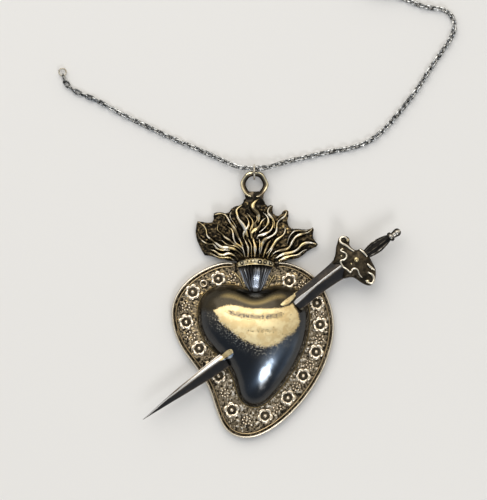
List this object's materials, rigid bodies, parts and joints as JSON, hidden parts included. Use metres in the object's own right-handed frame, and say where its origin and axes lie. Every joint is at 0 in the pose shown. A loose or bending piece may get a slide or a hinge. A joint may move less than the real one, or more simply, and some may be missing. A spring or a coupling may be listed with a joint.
{
  "type": "milagro charm",
  "caption": "Sacred heart charm with flames, pierced by a sword, on a fine cable chain with a spring ring clasp.",
  "frame": {"origin": "middle of the charm's own box in X and Y, without the chain, on the plane of the plate's flat back", "axes": "+X to the right seen from the front, +Y towards the hanging loop, +Z out of the front"},
  "size_m": [0.1014, 0.1331, 0.0095],
  "materials": {
    "plate_silver": "silvered brass, matted ground with a dark patina in the grain",
    "rim_silver": "silvered brass, worn bright on its top",
    "border_bronze": "dull bronze line",
    "dome_silver": "polished silvered brass with fine scratches and pits",
    "flower_silver": "cast, worn bright on the petals, dark in the recesses",
    "flame_silver": "chased flames, pale gold ridges with black valleys",
    "collar_silver": "bowed band with small punched circles",
    "neck_silver": "fluted, dark in the flutes",
    "loop_silver": "cast, ridged and polished",
    "blade_silver": "polished, with a bright middle ridge",
    "hilt_silver": "cast scrolls and beads, dark in the recesses",
    "chain_silver": "oxidised silver, worn bright on the links",
    "ring_silver": "polished wire",
    "clasp_silver": "polished",
    "spring_steel": "bright spring wire"
  },
  "bodies": {
    "charm": {"base_plate": "plate_silver", "rim_wire": "rim_silver", "inner_border": "border_bronze", "heart_dome": "dome_silver", "rosettes": "flower_silver", "small_flowers": "flower_silver", "flame_crown": "flame_silver", "collar_band": "collar_silver", "fluted_neck": "neck_silver", "hanging_loop": "loop_silver", "sword_blade": "blade_silver", "sword_guard": "hilt_silver", "guard_bead": "hilt_silver", "sword_grip": "hilt_silver", "grip_ring": "hilt_silver", "pommel": "hilt_silver"},
    "ring": {"jump_ring": "ring_silver", "centre_link": "chain_silver"},
    "left_chain": {"left_chain_links": "chain_silver", "left_end_ring": "ring_silver"},
    "right_chain": {"right_chain_links": "chain_silver", "chain_coil": "chain_silver", "clasp_link": "ring_silver", "clasp_ring": "clasp_silver", "clasp_spring": "spring_steel"},
    "bolt": {"clasp_bolt": "clasp_silver"}
  },
  "joints": [
    {"name": "ring_swing", "type": "hinge", "parent": "charm", "child": "ring", "pos_m": [-0.0044, 0.032, 0.0016], "axis": [1, 0, 0], "range_deg": [0, 80]},
    {"name": "left_chain_swing", "type": "hinge", "parent": "ring", "child": "left_chain", "pos_m": [-0.00529, 0.0333, 0.00205], "axis": [0, 0, 1], "range_deg": [-12, 12]},
    {"name": "right_chain_swing", "type": "hinge", "parent": "ring", "child": "right_chain", "pos_m": [-0.00351, 0.0333, 0.00205], "axis": [0, 0, 1], "range_deg": [-12, 12]},
    {"name": "bolt_slide", "type": "hinge", "parent": "right_chain", "child": "bolt", "pos_m": [0.04469, 0.0957, 0.00074], "axis": [0, 0, 1], "range_deg": [0, 55], "stiffness_Nm_per_rad": 0.004, "springref_deg": -22.92, "deforming": ["clasp_spring"]}
  ]
}
